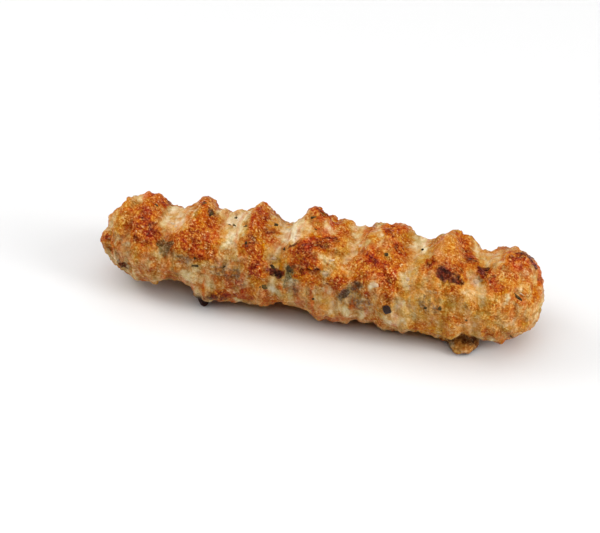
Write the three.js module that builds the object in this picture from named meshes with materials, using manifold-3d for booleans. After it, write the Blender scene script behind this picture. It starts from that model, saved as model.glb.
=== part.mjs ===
// A chicken lula kebab: seasoned chicken mince pressed round a flat skewer, grilled, and slid off it.
// It is one solid. The cook's fingers leave seven ridges across the top, with a scoop between each two.
// Millimetres, +Z up. X runs along the kebab and -Y is its front. The origin is under its middle, at the
// height of the surface that it lies on.
import * as THREE from "three";
import Module from "manifold-3d";
import { SimplexNoise } from "three/addons/math/SimplexNoise.js";
import { mergeVertices } from "three/addons/utils/BufferGeometryUtils.js";

// Driving dimensions
const LEFT_END = -96;
const RIGHT_END = 93;
const STATIONS = 106; // rings of points along the kebab
const SPOKES = 46; // points round one ring
const END_CROWDING = 0.35; // 0 spaces the rings evenly, 1 crowds them most at the ends
const CAP_POWER = 2.3; // 2 is an elliptical end, more is blunter
const SECTION_POWER = 2.15; // 2 is an ellipse, more is squarer

// The bar before it is pinched: its half sizes and the place of its middle, from left to right.
const BAR = [
  { x: -96, width: 16.5, above: 13.5, below: 14.0, y: 0.0, z: 20.0 },
  { x: -77, width: 18.5, above: 20.5, below: 15.5, y: 1.0, z: 19.5 },
  { x: -46, width: 20.5, above: 24.0, below: 19.5, y: 1.0, z: 19.0 },
  { x: -5, width: 21.5, above: 24.5, below: 20.5, y: 0.5, z: 19.5 },
  { x: 25, width: 22.5, above: 20.0, below: 22.5, y: 0.0, z: 20.5 },
  { x: 58, width: 22.5, above: 22.5, below: 22.0, y: 0.0, z: 20.5 },
  { x: 93, width: 18.5, above: 18.0, below: 16.0, y: 0.0, z: 19.5 },
];
const LEFT_CAP = 17;
const RIGHT_CAP = 17;

// Finger scoops. Angles go round from the top: 90 is the front, 180 the underside, -90 the back.
// left and right are how far a scoop reaches each way along the kebab, and spread how far round it.
const SCOOP_POWER = 1.1; // more makes a scoop narrower at its floor
const TOP_SCOOPS = [
  { x: -67, angle: -14, depth: 7.5, left: 11, right: 13, spread: 74 },
  { x: -42, angle: -10, depth: 7.5, left: 14, right: 12, spread: 80 },
  { x: -17, angle: -12, depth: 11.0, left: 15, right: 8, spread: 76 },
  { x: 12, angle: -14, depth: 6.0, left: 20, right: 9, spread: 74 },
  { x: 40, angle: -18, depth: 5.0, left: 11, right: 12, spread: 74 },
  { x: 67, angle: -16, depth: 7.5, left: 13, right: 10, spread: 78 },
];
const UNDER_SCOOPS = [
  { x: -60, angle: 145, depth: 4.5, left: 13, right: 10, spread: 62 },
  { x: -34, angle: 165, depth: 1.5, left: 10, right: 10, spread: 60 },
  { x: -10, angle: 150, depth: 4.5, left: 14, right: 11, spread: 62 },
  { x: 22, angle: 150, depth: 3.5, left: 10, right: 9, spread: 60 },
  { x: 46, angle: 165, depth: 1.5, left: 10, right: 10, spread: 60 },
  { x: 70, angle: 150, depth: 3.0, left: 12, right: 9, spread: 60 },
];

// Single bulges that stand out of the rest: the middle of each, how far it reaches, and how high it is.
const BULGES = [
  { x: -95, y: -9, z: 20, reach: 9, height: 1.8 },
  { x: -70, y: -20, z: 21, reach: 11, height: 1.5 },
  { x: -45, y: -20, z: 9, reach: 9, height: 1.5 },
  { x: -2, y: -12, z: 38, reach: 9, height: 1.5 },
  { x: 27, y: -21, z: 18, reach: 10, height: 1.5 },
  { x: 86, y: -12, z: 12, reach: 9, height: 1.2 },
];

// Surface of the mince: rounded crumbs of two sizes, and a slow unevenness under them.
const COARSE_CRUMB = { size: 9, height: 3.0 };
const FINE_CRUMB = { size: 5, height: 1.5 };
const UNEVEN = { size: 24, height: 1.2 };
const CRUMB_MEAN = 0.6; // the height, from 0 to 1, that crumbs have on average
const SEED = 18;

// What cooked out of the mince and set on the underside: a drip of juice, and a scorched shred.
const SET_DRIPS = [
  { x: 63.5, y: -13.5, width: 13.5, depth: 17, height: 7.5, detail: 5, crumb: { size: 4, height: 1.2 } },
  { x: -50, y: -13.5, width: 3.2, depth: 3.5, height: 11, detail: 2, crumb: { size: 3, height: 0.9 } },
];
const DRIP_SINK = 0.42; // a drip's middle is this share of its height above the surface it lies on

const { degToRad, euclideanModulo, lerp, seededRandom, smoothstep } = THREE.MathUtils;

// A repeatable number from 0 to 1 for one cell of space.
function cellRandom(i, j, k, salt) {
  return seededRandom((i * 73856093) ^ (j * 19349663) ^ (k * 83492791) ^ ((salt + SEED) * 2654435));
}

// Rounded crumbs packed side by side: 1 on top of one, 0 in the seams between them.
function crumbs(p, size) {
  const q = p.clone().divideScalar(size);
  const cell = q.clone().floor();
  let nearest = 1;
  for (let i = cell.x - 1; i <= cell.x + 1; i++) {
    for (let j = cell.y - 1; j <= cell.y + 1; j++) {
      for (let k = cell.z - 1; k <= cell.z + 1; k++) {
        const [dx, dy, dz] = [1, 2, 3].map((salt) => cellRandom(i, j, k, salt + 10 * size));
        nearest = Math.min(nearest, q.distanceToSquared(new THREE.Vector3(i + dx, j + dy, k + dz)));
      }
    }
  }
  return 1 - nearest;
}

// The bar's sizes at x, eased from one named station to the next.
function barAt(x) {
  const after = Math.max(1, BAR.findIndex((s) => s.x >= x));
  const [a, b] = [BAR[after - 1], BAR[after]];
  const t = smoothstep(x, a.x, b.x);
  const at = (key) => lerp(a[key], b[key], t);
  return { width: at("width"), above: at("above"), below: at("below"), y: at("y"), z: at("z") };
}

// The share of its full girth that the bar has at x, falling to 0 at each rounded end.
function girthShare(x) {
  const into = Math.max((LEFT_END - x) / LEFT_CAP, (x - RIGHT_END) / RIGHT_CAP) + 1;
  if (into <= 0) return 1;
  return Math.pow(Math.max(0, 1 - Math.pow(into, CAP_POWER)), 1 / CAP_POWER);
}

// How deep one scoop is at a place: a rounded dish, deepest in its middle.
function scoopDepth(scoop, x, angle) {
  const turn = euclideanModulo(angle - scoop.angle + 180, 360) - 180;
  const across = turn / scoop.spread;
  const along = (x - scoop.x) / (x < scoop.x ? scoop.left : scoop.right);
  const reach = across * across + along * along;
  return scoop.depth * Math.pow(Math.max(0, 1 - reach), SCOOP_POWER);
}

// The point of the pinched bar at x, and at that angle round it.
function barPoint(x, angle) {
  const bar = barAt(x);
  const [side, up] = [Math.sin(degToRad(angle)), Math.cos(degToRad(angle))];
  const high = up > 0 ? bar.above : bar.below;
  const n = SECTION_POWER;
  const radius = Math.pow(
    Math.pow(Math.abs(side) / bar.width, n) + Math.pow(Math.abs(up) / high, n),
    -1 / n,
  );
  const scooped = [...TOP_SCOOPS, ...UNDER_SCOOPS].reduce((sum, s) => sum + scoopDepth(s, x, angle), 0);
  const r = (radius - scooped) * girthShare(x);
  return new THREE.Vector3(x, bar.y - r * side, bar.z + r * up);
}

// Rings of points, closed by one point at each end, closer together where the ends round off.
function bodyGeometry() {
  const rings = [];
  for (let i = 1; i < STATIONS; i++) {
    const t = i / STATIONS;
    const eased = lerp(t, (1 - Math.cos(Math.PI * t)) / 2, END_CROWDING);
    rings.push(lerp(LEFT_END, RIGHT_END, eased));
  }
  const tip = (x) => new THREE.Vector3(x, barAt(x).y, barAt(x).z);
  const points = [tip(LEFT_END)];
  for (const x of rings) {
    for (let j = 0; j < SPOKES; j++) points.push(barPoint(x, (j * 360) / SPOKES));
  }
  points.push(tip(RIGHT_END));

  const faces = [];
  const at = (ring, spoke) => 1 + ring * SPOKES + (spoke % SPOKES);
  const last = points.length - 1;
  for (let j = 0; j < SPOKES; j++) {
    faces.push(0, at(0, j + 1), at(0, j));
    faces.push(last, at(rings.length - 1, j), at(rings.length - 1, j + 1));
    for (let i = 0; i + 1 < rings.length; i++) {
      faces.push(at(i, j), at(i, j + 1), at(i + 1, j + 1));
      faces.push(at(i, j), at(i + 1, j + 1), at(i + 1, j));
    }
  }
  return new THREE.BufferGeometry().setFromPoints(points).setIndex(faces);
}

// An uneven blob, for what has set on the underside.
function dripGeometry({ x, y, width, depth, height, detail }) {
  const faceted = new THREE.IcosahedronGeometry(0.5, detail);
  const ball = mergeVertices(faceted.deleteAttribute("normal").deleteAttribute("uv"));
  return ball.scale(width, depth, height).translate(x, y, height * DRIP_SINK);
}

// Pushes each point in or out along its normal by the relief that the function gives there.
function addRelief(geometry, reliefAt) {
  geometry.computeVertexNormals();
  const { position, normal } = geometry.attributes;
  const [p, n] = [new THREE.Vector3(), new THREE.Vector3()];
  for (let i = 0; i < position.count; i++) {
    p.fromBufferAttribute(position, i);
    n.fromBufferAttribute(normal, i);
    p.addScaledVector(n, reliefAt(p));
    position.setXYZ(i, p.x, p.y, p.z);
  }
  geometry.deleteAttribute("normal");
  return geometry;
}

function crumbRelief(p, { size, height }) {
  return height * (crumbs(p, size) - CRUMB_MEAN);
}

const slowNoise = new SimplexNoise({ random: () => seededRandom() });

function minceRelief(p) {
  const { x, y, z } = p.clone().divideScalar(UNEVEN.size);
  const bulging = BULGES.reduce((sum, bulge) => {
    const away = p.distanceTo(bulge) / bulge.reach;
    return sum + bulge.height * Math.exp(-2 * away * away);
  }, UNEVEN.height * slowNoise.noise3d(x, y, z));
  return bulging + crumbRelief(p, COARSE_CRUMB) + crumbRelief(p, FINE_CRUMB);
}

// The soft mince goes flat where it lies on something.
function setDown(geometry) {
  const position = geometry.attributes.position;
  for (let i = 0; i < position.count; i++) position.setZ(i, Math.max(0, position.getZ(i)));
  return geometry;
}

const wasm = await Module();
wasm.setup();

function solidOf(geometry) {
  return new wasm.Manifold(
    new wasm.Mesh({
      numProp: 3,
      vertProperties: new Float32Array(geometry.attributes.position.array),
      triVerts: new Uint32Array(geometry.index.array),
    }),
  );
}

function geometryOf(solid) {
  const mesh = solid.getMesh();
  return new THREE.BufferGeometry()
    .setAttribute("position", new THREE.BufferAttribute(mesh.vertProperties, 3))
    .setIndex(new THREE.BufferAttribute(mesh.triVerts, 1));
}

function kebabGeometry() {
  let whole = solidOf(setDown(addRelief(bodyGeometry(), minceRelief)));
  for (const drip of SET_DRIPS) {
    const lumpy = addRelief(dripGeometry(drip), (p) => crumbRelief(p, drip.crumb));
    whole = whole.add(solidOf(setDown(lumpy)));
  }
  const geometry = geometryOf(whole);
  geometry.computeBoundingBox();
  const middle = geometry.boundingBox.getCenter(new THREE.Vector3());
  geometry.translate(-middle.x, -middle.y, 0);
  geometry.computeVertexNormals();
  return geometry;
}

const grilledMince = new THREE.MeshStandardMaterial({
  name: "grilled_mince",
  color: new THREE.Color(0.7, 0.45, 0.2),
  roughness: 0.5,
  metalness: 0,
});

const kebab = new THREE.Mesh(kebabGeometry(), grilledMince);
kebab.name = "kebab";

const lulaKebab = new THREE.Group();
lulaKebab.name = "chicken_lula_kebab";
lulaKebab.add(kebab);

export default lulaKebab;
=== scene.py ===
# %% [markdown]
# # A grilled chicken lula kebab
# A lula kebab is minced chicken, onion and herbs, pressed by hand round a flat skewer and grilled. The
# fingers leave ridges and scoops. The ridges meet the heat first and turn brown, while the scoops stay
# pale. This lesson dresses the plain CAD solid of one kebab as the real thing, in one frame with it.

# %% Load the frame
import math
import random

import bpy
import numpy as np
from mathutils import Matrix, Vector, noise as wander
from mathutils.bvhtree import BVHTree


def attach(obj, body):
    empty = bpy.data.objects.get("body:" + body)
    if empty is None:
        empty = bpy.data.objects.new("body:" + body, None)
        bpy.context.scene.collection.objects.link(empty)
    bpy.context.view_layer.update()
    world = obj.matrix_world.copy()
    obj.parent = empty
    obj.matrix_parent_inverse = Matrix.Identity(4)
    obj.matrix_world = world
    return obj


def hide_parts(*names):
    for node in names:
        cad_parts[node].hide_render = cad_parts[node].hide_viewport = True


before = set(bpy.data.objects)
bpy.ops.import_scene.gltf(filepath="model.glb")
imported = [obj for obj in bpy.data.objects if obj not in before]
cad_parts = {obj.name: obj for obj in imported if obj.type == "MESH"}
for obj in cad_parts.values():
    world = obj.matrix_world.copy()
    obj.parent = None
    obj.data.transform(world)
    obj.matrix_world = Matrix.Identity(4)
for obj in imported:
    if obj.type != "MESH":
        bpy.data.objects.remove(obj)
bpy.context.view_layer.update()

MM = 0.001

# %% [markdown]
# ## The camera
# The picture was taken with a long lens from a little to the right, looking down by about 39 degrees.
# A camera could be placed by eye, but placed by angles it can be reasoned about: it stands back from
# the kebab along one direction, and then slides sideways until the kebab sits where it does in the frame.

# %% Place the camera
AZIMUTH = 14
ELEVATION = 39
LENS = 135
DISTANCE = 960 * MM
AIM = Vector((0, 0, 20 * MM))
AIM_PIXEL = (320.9, 266.0)
FRAME_WIDTH = 600
FRAME_HEIGHT = 533

turn = math.radians(AZIMUTH)
tilt = math.radians(ELEVATION)
back = Vector((math.sin(turn) * math.cos(tilt), -math.cos(turn) * math.cos(tilt), math.sin(tilt)))
right = Vector((math.cos(turn), math.sin(turn), 0))
up = back.cross(right)

camera_data = bpy.data.cameras.new("camera")
camera_data.lens = LENS
camera = bpy.data.objects.new("camera", camera_data)
bpy.context.collection.objects.link(camera)
bpy.context.scene.camera = camera
pixel = camera_data.sensor_width / LENS / FRAME_WIDTH * DISTANCE
slide = right * (FRAME_WIDTH / 2 - AIM_PIXEL[0]) + up * (AIM_PIXEL[1] - FRAME_HEIGHT / 2)
camera.location = AIM + back * DISTANCE + slide * pixel
camera.rotation_euler = back.to_track_quat("Z", "Y").to_euler()
print("one pixel at the kebab is", round(pixel / MM, 2), "mm")

# %% [markdown]
# ## Light and floor
# One broad lamp overhead gives the whole kebab an even, soft light. Two smaller lamps on each side, a high
# one and a low one, let the ridges shade the scoops between them and put a glint on the moist skin. Area
# lights do that, and the larger they are, the softer they shine. A picture of a room could light the
# kebab too, but lamps can be moved one by one.

# %% Add the lights and the floor
def add_light(name, place, width, depth, power):
    """An area light turned to the kebab. Its place and its sides are in metres, its power in watts."""
    data = bpy.data.lights.new(name, "AREA")
    data.shape = "RECTANGLE"
    data.size = width
    data.size_y = depth
    data.energy = power
    lamp = bpy.data.objects.new(name, data)
    lamp.location = place
    lamp.rotation_euler = (Vector(place) - AIM).to_track_quat("Z", "Y").to_euler()
    bpy.context.collection.objects.link(lamp)


add_light("overhead light", (0.0, 0.0, 1.0), 1.6, 2.0, 16)
add_light("right light", (1.4, -0.25, 1.0), 0.6, 0.9, 12.5)
add_light("left light", (-1.3, 0.25, 1.0), 0.8, 0.8, 9)
add_light("low right light", (1.2, -0.2, 0.35), 0.4, 0.4, 4.7)
add_light("low left light", (-1.2, -0.2, 0.35), 0.4, 0.4, 3.9)

WORLD_COLOUR = (1, 0.985, 0.97, 1)
WORLD_STRENGTH = 0.02
FLOOR_WIDTH = 8

world = bpy.data.worlds.new("studio")
world.use_nodes = True
background = world.node_tree.nodes["Background"]
background.inputs["Color"].default_value = WORLD_COLOUR
background.inputs["Strength"].default_value = WORLD_STRENGTH
bpy.context.scene.world = world
bpy.context.scene.view_settings.view_transform = "Standard"

bpy.ops.object.select_all(action="DESELECT")
bpy.ops.mesh.primitive_plane_add(size=FLOOR_WIDTH, location=(0, 0, 0))
floor = bpy.context.object
floor.name = "floor"
print("the lights are", [lamp.name for lamp in bpy.data.lights])

# %% [markdown]
# ## Sums on sockets
# A procedural material is a sum of patterns. Wired by hand, each plus sign is a node, and the sum is
# soon lost among the wires. A small class that wraps a socket lets Python write them as plain sums.

# %% A socket that can be reckoned with
class Wire:
    """The output socket of a node, and the sums that can be done on it."""

    def __init__(self, tree, socket):
        self.tree = tree
        self.socket = socket

    def node(self, kind, inputs, output=0, stops=None, **settings):
        """Adds a node: first its settings, then each of its sockets' value or link."""
        made = self.tree.nodes.new(kind)
        for name, value in settings.items():
            setattr(made, name, value)
        if stops:
            set_stops(made.color_ramp, stops)
        for key, value in inputs.items():
            if isinstance(value, Wire):
                self.tree.links.new(value.socket, made.inputs[key])
            else:
                made.inputs[key].default_value = value
        return Wire(self.tree, made.outputs[output])

    def maths(self, operation, *values):
        """One of the Math node's operations, on wires or numbers."""
        return self.node("ShaderNodeMath", dict(enumerate(values)), operation=operation)

    def __add__(self, other):
        return self.maths("ADD", self, other)

    def __sub__(self, other):
        return self.maths("SUBTRACT", self, other)

    def __rsub__(self, other):
        return self.maths("SUBTRACT", other, self)

    def __mul__(self, other):
        return self.maths("MULTIPLY", self, other)

    __radd__ = __add__
    __rmul__ = __mul__

    def step(self, low, high):
        """0 below low, 1 above high, and a smooth rise between them. With high under low it falls."""
        sides = {"Value": self, "From Min": low, "From Max": high}
        return self.node("ShaderNodeMapRange", sides, interpolation_type="SMOOTHSTEP")

    def mix(self, first, second):
        """The first colour where this is 0, and the second where it is 1."""
        return self.node("ShaderNodeMix", {0: self, 6: first, 7: second}, output=2, data_type="RGBA")


def set_stops(ramp, stops):
    """Gives a colour ramp these (place, colour) stops."""
    while len(ramp.elements) < len(stops):
        ramp.elements.new(1)
    for element, (place, colour) in zip(ramp.elements, stops):
        element.position = place
        element.color = colour


print("beside plus, minus and times, a wire knows", [name for name in vars(Wire) if "__" not in name])

# %% [markdown]
# ## Paint and patterns
# A screen's colour numbers aren't amounts of light, so they are made linear for the shader. The surface
# of food could come from photographs of it, but soft noises and packed grains of a known size can be
# turned, stretched and layered, and they never repeat.

# %% Helpers for materials
def linear(v):
    """The share of light behind a screen's number from 0 to 255, by the sRGB curve."""
    v /= 255
    return v / 12.92 if v <= 0.04045 else ((v + 0.055) / 1.055) ** 2.4


def paint(red, green, blue):
    """A colour as a painter reads it off a screen, made linear for the shader."""
    return (linear(red), linear(green), linear(blue), 1)


def new_material(name):
    """An empty material, and a wire of its Object coordinates in millimetres."""
    material = bpy.data.materials.new(name)
    material.use_nodes = True
    tree = material.node_tree
    tree.nodes.clear()
    place = Wire(tree, tree.nodes.new("ShaderNodeTexCoord").outputs["Object"])
    return material, place.node("ShaderNodeVectorMath", {0: place, "Scale": 1 / MM}, operation="SCALE")


NOISE_MIDDLE = 0.5
NOISE_SPREAD = 3.5


def noise(place, size, detail=2.0):
    """Soft cloudy noise with lumps of that size in millimetres, mostly between -1 and 1."""
    cloudy = place.node("ShaderNodeTexNoise", {"Vector": place, "Scale": 1 / size, "Detail": detail})
    return (cloudy - NOISE_MIDDLE) * NOISE_SPREAD


def grains(place, size, output="Distance"):
    """Packed round grains of that size: the distance from a grain's middle, or a colour for each."""
    return place.node("ShaderNodeTexVoronoi", {"Vector": place, "Scale": 1 / size}, output=output)


def dice(place, size):
    """A number from 0 to 1, drawn anew for each packed grain of that size."""
    colours = grains(place, size, "Color")
    return place.node("ShaderNodeSeparateColor", {"Color": colours}, output="Red")


def finish_with(place, **sockets):
    """Ends a material with a Principled shader. A socket's name has underscores for its spaces."""
    named = {name.replace("_", " "): value for name, value in sockets.items()}
    shader = place.node("ShaderNodeBsdfPrincipled", named)
    ending = place.tree.nodes.new("ShaderNodeOutputMaterial")
    place.tree.links.new(shader.socket, ending.inputs["Surface"])


print("the grey 128 of a screen is", round(linear(128), 2), "as light")

# %% [markdown]
# ## The floor's paper
# The floor is pale paper under the kebab, there for the picture alone. One flat colour would do for it,
# but a hint of cloud keeps it from looking empty, and a dull surface takes a soft shadow.

# %% Paint the floor
floor_material, place = new_material("pale studio paper")
finish_with(
    place,
    Base_Color=noise(place, 400).mix(paint(228, 228, 228), paint(232, 232, 231)),
    Roughness=0.6,
)
floor.data.materials.append(floor_material)
print("the floor has its paper")

# %% [markdown]
# ## The body of the kebab
# Minced meat has no smooth face anywhere. The CAD solid gives its true form in coarse facets, so the
# body starts as a copy of that solid. Merging its loose triangles closes the skin, a voxel remesh
# gives it an even net of points fine enough to carry grain, and smoothing takes the facets away.
# Subdividing would be quicker, but it keeps the long and short triangles of the facets.

# %% Copy the solid and give it a fine skin
VOXEL = 0.63 * MM
MERGE_WITHIN = 0.001 * MM
SMOOTHING = 0.5
SMOOTHING_ROUNDS = 14

bpy.ops.object.select_all(action="DESELECT")
kebab = bpy.data.objects.new("kebab_mince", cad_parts["kebab"].data.copy())
bpy.context.collection.objects.link(kebab)
kebab.data.materials.clear()
bpy.context.view_layer.objects.active = kebab
kebab.select_set(True)
bpy.ops.object.mode_set(mode="EDIT")
bpy.ops.mesh.select_all(action="SELECT")
bpy.ops.mesh.remove_doubles(threshold=MERGE_WITHIN)
bpy.ops.object.mode_set(mode="OBJECT")


def apply_modifier(kind, **settings):
    """Adds a modifier to the active object, sets it and applies it."""
    modifier = bpy.context.object.modifiers.new(kind.lower(), kind)
    for name, value in settings.items():
        setattr(modifier, name, value)
    bpy.ops.object.modifier_apply(modifier=modifier.name)


apply_modifier("REMESH", mode="VOXEL", voxel_size=VOXEL)
apply_modifier("SMOOTH", factor=SMOOTHING, iterations=SMOOTHING_ROUNDS)
print("the skin has", len(kebab.data.vertices), "points")

# %% [markdown]
# ## Where things are on the body
# A place on the kebab is named by how far along it is, in millimetres, and by how far round, in degrees:
# 0 is the top, 90 the front, 180 the underside and -90 the back. A patch is an oval laid on the skin,
# given by its middle, its two half sizes in millimetres, its tilt, and how strong it is. A noise makes its
# rim stray. Blender draws that noise anew in each session unless it is given a seed, so it gets one.

# %% Name places along and round the body
AXIS_HEIGHT = 20
GIRTH_RADIUS = 21.5
NOISE_SEED = 8
BROAD_STRAY = (1.8, 5)
FINE_STRAY = (1.1, 1.7)
RIM_FALL = 1.5
GROUP_STEPS = 20

wander.seed_set(NOISE_SEED)

points = np.empty(len(kebab.data.vertices) * 3)
kebab.data.vertices.foreach_get("co", points)
points = points.reshape(-1, 3) / MM
print("the skin reaches from", points.min(axis=0).round(1), "to", points.max(axis=0).round(1), "mm")


def strayed(reach, size):
    """How far each point strays, up to that reach, by a noise of that size, both in millimetres."""
    return reach * np.array([wander.noise_vector(Vector(point) / size)[:2] for point in points])


stray = strayed(*BROAD_STRAY) + strayed(*FINE_STRAY)
along = points[:, 0] + stray[:, 0]
angle_round = np.degrees(
    np.arctan2(-points[:, 1], points[:, 2] - AXIS_HEIGHT) + stray[:, 1] / GIRTH_RADIUS
)


def oval(x, angle, half_long, half_across, tilt=0, strength=1):
    """How much of an oval patch each point of the skin has, soft at its rim."""
    dx = along - x
    turned = (angle_round - angle + 180) % 360 - 180
    dy = np.radians(turned) * GIRTH_RADIUS
    c, s = math.cos(math.radians(tilt)), math.sin(math.radians(tilt))
    reach = ((dx * c + dy * s) / half_long) ** 2 + ((dy * c - dx * s) / half_across) ** 2
    return strength * np.exp(-(reach**RIM_FALL))


def patches(ovals):
    """Ovals laid over one another: the strongest counts."""
    field = np.zeros(len(along))
    for one in ovals:
        field = np.maximum(field, oval(*one))
    return field


def keep_field(name, field):
    """Stores a field on the body twice: for its material, and as a vertex group for modifiers."""
    attribute = kebab.data.attributes.new(name, "FLOAT", "POINT")
    attribute.data.foreach_set("value", field.astype(np.float32))
    group = kebab.vertex_groups.new(name=name)
    level = np.round(np.clip(field, 0, 1) * GROUP_STEPS).astype(int)
    for i in range(1, GROUP_STEPS + 1):
        group.add(np.flatnonzero(level == i).tolist(), i / GROUP_STEPS, "REPLACE")
    print(name, "covers", round(100 * float(field.mean())), "% of the skin")


# %% [markdown]
# ## The grill's marks
# The heat browns what stands out. On this kebab that is a tall patch over each ridge, wider low on the
# front, with seared places in it that are redder and darker. A few dark patches on the lower edge are
# painted shadow where the kebab meets the floor. A texture painted by hand could hold them, but a patch
# that is named by its place and size is moved by changing a number.

# %% Lay out the browned and seared patches of the front and top
BROWNED = [
    # ridge 1 and the left end
    (-74.5, -20, 4.5, 14, 0, 0.9), (-76, 8, 6, 7, 0, 0.8), (-75, 38, 6.5, 9, 5, 0.95),
    (-70.5, 38, 3.6, 9, -30, 1.0), (-87, 40, 3.5, 5, 0, 0.45), (-81, 22, 4, 3, -15, 0.6),
    (-92, 62, 4, 7, 0, 0.95), (-76, 66, 4.5, 2.5, 0, 0.6), (-79.5, 8, 3, 3, 0, 0.7),
    (-94, -5, 2.5, 16, 0, 0.75),
    # ridge 2
    (-53.5, -28, 4.5, 11, -10, 0.85), (-48.3, 8, 4.6, 8, 8, 0.9), (-50.5, 32, 8.5, 7, 0, 0.9),
    (-53, 48, 12, 6.5, 0, 0.95), (-46, 58, 6, 5, 10, 0.9), (-45, -28, 2.5, 7, 0, 0.35),
    (-38, -22, 2, 1.8, 0, 0.7),
    # ridge 3
    (-28, -20, 4, 16, 3, 0.9), (-25.8, 15, 4.8, 10, 3, 0.9), (-21.6, 6, 3.2, 5, 40, 0.95),
    (-27, 42, 6.5, 6, 0, 0.9), (-23.5, 65, 5.2, 7.5, 3, 1.0), (-23.5, 82, 3, 4, 0, 0.8),
    (-20, 22, 4, 4, 0, 0.7),
    # ridge 4 and its slanted fold
    (-2, -25, 4, 11, 0, 1.0), (4, -25, 4, 10, 0, 0.8), (10, -10, 4.5, 9, 10, 0.7),
    (2, 24, 9.5, 4.6, -28, 1.2), (-4.5, 34, 8, 4.8, -20, 1.0), (-1, 49, 7, 3.4, 0, 0.7),
    (11, 62.5, 4.4, 3.2, -15, 1.0), (16.5, 43, 3.5, 3, 0, 0.55), (1, 65, 5, 4, 0, 0.7),
    (-6, 52, 6, 3, 0, 0.6), (-4, 62, 4, 3, 0, 0.8),
    # ridge 5
    (18, -25, 2.5, 8, 0, 0.6), (28, -25, 3.5, 12, 5, 0.95), (29.8, -2, 2.6, 6, 0, 0.9),
    (33, -15, 3, 10, 0, 0.85), (31, 17, 3, 4, 0, 0.6), (37.5, -20, 3, 6, 0, 0.65),
    (23.6, 7, 2.8, 3.5, 0, 0.75), (35.5, 10, 3.6, 7, 10, 1.0), (24, 38, 7, 7, 0, 0.95),
    (34, 41, 5, 10, 5, 1.0), (22, 56, 4.5, 4, 0, 0.9), (34, 60, 5, 5, 0, 0.65), (24, 70, 3, 2, 0, 0.7),
    (33, 76, 2.6, 2.2, 0, 0.5), (5, 36, 4, 3, -20, 0.6),
    # ridge 6
    (60, -22, 5, 10, 0, 0.9), (63.3, -8, 3, 12, 0, 1.0), (68, 8, 3, 3, 0, 0.6), (56, 8, 3.5, 6, 0, 0.55),
    (48, -15, 2, 8, 0, 0.5), (48.5, 31, 5, 3.5, 5, 0.95), (59, 32, 6, 4.5, 10, 0.95),
    (60, 22, 8, 4, 0, 0.7), (58.5, 56, 4, 3, 0, 0.8), (63, 59, 3, 3, 0, 0.7), (62, 86, 6, 4, 0, 0.7),
    (70, 66, 2, 5, 0, 0.5),
    # ridge 7 and the right end
    (83, -10, 5.5, 12, 0, 0.9), (78, -20, 2.5, 8, 0, 0.7), (82, 25, 6.5, 5, 0, 0.8),
    (72.8, 27, 8, 2.6, 48, 1.4), (79, 14, 3, 5, 0, 0.6), (87.5, 56, 4.5, 1.8, 40, 0.7),
    (79, 43, 5, 2.5, 0, 0.9), (77, 65, 4, 3.5, 0, 0.75), (84, 66, 3, 3, 0, 0.55), (80, 78, 6, 4, 0, 0.5),
    (91, -30, 1.5, 8, 0, 0.6), (90, 60, 2, 4, 0, 0.6),
    # the lower edge; the one at -37 mm and 113 degrees is painted shadow where the kebab meets the floor
    (-67, 88, 4, 7, 0, 0.55), (-76, 88, 3, 6, 0, 0.4), (-49, 103, 3, 3, 0, 0.25), (-37, 113, 8, 3, 0, 0.9),
    (-17, 104, 5, 5, 0, 0.4), (-12, 84, 3, 3.5, 0, 0.6), (-26, 100, 4, 3, 0, 0.6), (8, 108, 6, 3, 0, 0.45),
    (28, 110, 4, 4, 0, 0.65), (46, 106, 4, 4, 0, 0.7), (62, 108, 5, 3, 0, 0.5), (79, 108, 7, 4, 0, 0.75),
    # smaller ones, all over
    (-75, 61, 6, 2.5, 0, 0.55), (-94, 0, 3, 18, 0, 0.5), (-89, 71, 3, 3, 0, 0.6), (-38, 92, 4, 4, 0, 0.45),
    (60, 4, 3, 8, 0, 0.75), (89.5, 28, 3.5, 9, 0, 0.6), (30.3, 15, 1.8, 3, 0, 0.8),
    (-86, 20, 5, 13, 0, 0.72), (-14, 110, 6, 4, 0, 0.6), (-37, 50, 7, 3, -10, 0.4), (8, 16, 5, 4, -10, 1.1),
    (0.5, 34, 3.5, 3, 0, 1.0), (10.5, 27, 3, 3, 0, 0.5), (4, 70, 4, 5, 0, 0.6), (-58, 78, 4, 4, 0, 0.4),
    (-43, 75, 4, 5, 0, 0.35), (65.5, 8, 3, 5, 0, 0.9), (-34, 84, 5, 5, 0, 0.4), (-83.5, 31, 5.5, 5, 0, 0.7),
    (12.2, 44, 3, 2.4, 0, 0.5),
]
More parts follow.
